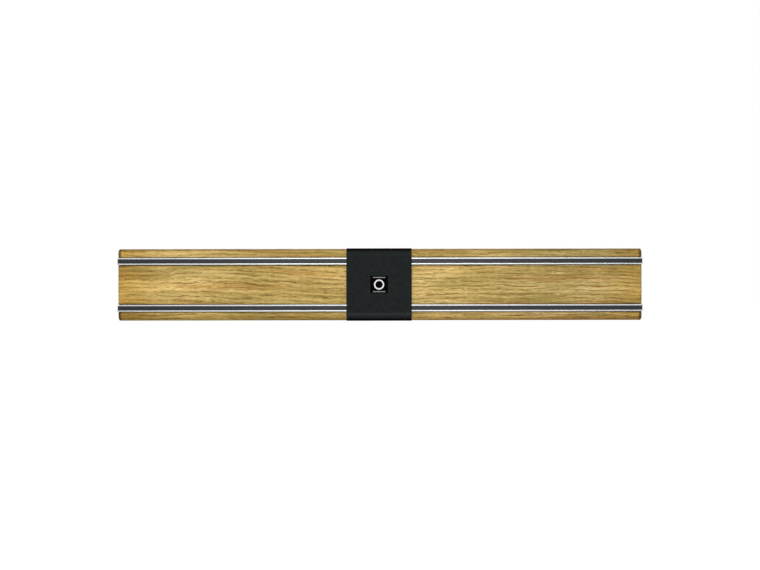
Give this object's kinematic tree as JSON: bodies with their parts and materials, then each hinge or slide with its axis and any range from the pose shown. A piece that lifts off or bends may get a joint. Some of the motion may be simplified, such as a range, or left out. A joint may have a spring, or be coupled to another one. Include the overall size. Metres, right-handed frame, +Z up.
{
  "type": "magnetic knife rack",
  "caption": "Wall-mounted magnetic knife rack: a rounded oak board with steel-edged magnet rails in front, keyhole hangers behind and a sliding card sleeve.",
  "frame": {"origin": "on the wall plane, midway between the centres of the two keyholes' round entries", "axes": "+X along the board, to the right as seen from the room; +Y into the wall, so the knives hang on the -Y side; +Z up"},
  "size_m": [0.45, 0.0245, 0.0626],
  "materials": {
    "oak": "satin",
    "strip_steel": "satin",
    "ferrite": "satin",
    "zinc_steel": "satin",
    "screw_steel": "satin",
    "black_card": "matte",
    "tape": "satin",
    "label_gloss": "gloss"
  },
  "bodies": {
    "rack": {"oak_board": "oak", "upper_rail_outer_strip": "strip_steel", "upper_rail_inner_strip": "strip_steel", "upper_rail_magnet_1": "ferrite", "upper_rail_magnet_2": "ferrite", "upper_rail_magnet_3": "ferrite", "upper_rail_magnet_4": "ferrite", "upper_rail_magnet_5": "ferrite", "upper_rail_magnet_6": "ferrite", "upper_rail_magnet_7": "ferrite", "upper_rail_magnet_8": "ferrite", "upper_rail_magnet_9": "ferrite", "lower_rail_outer_strip": "strip_steel", "lower_rail_inner_strip": "strip_steel", "lower_rail_magnet_1": "ferrite", "lower_rail_magnet_2": "ferrite", "lower_rail_magnet_3": "ferrite", "lower_rail_magnet_4": "ferrite", "lower_rail_magnet_5": "ferrite", "lower_rail_magnet_6": "ferrite", "lower_rail_magnet_7": "ferrite", "lower_rail_magnet_8": "ferrite", "lower_rail_magnet_9": "ferrite", "left_hanger_plate": "zinc_steel", "left_hanger_left_screw": "screw_steel", "left_hanger_right_screw": "screw_steel", "right_hanger_plate": "zinc_steel", "right_hanger_left_screw": "screw_steel", "right_hanger_right_screw": "screw_steel"},
    "sleeve": {"card_sleeve": "black_card", "lap_tape": "tape", "front_label": "label_gloss"}
  },
  "joints": [
    {"name": "sleeve_slide", "type": "slide", "parent": "rack", "child": "sleeve", "axis": [1, 0, 0], "range_m": [-0.26, 0.26]}
  ]
}
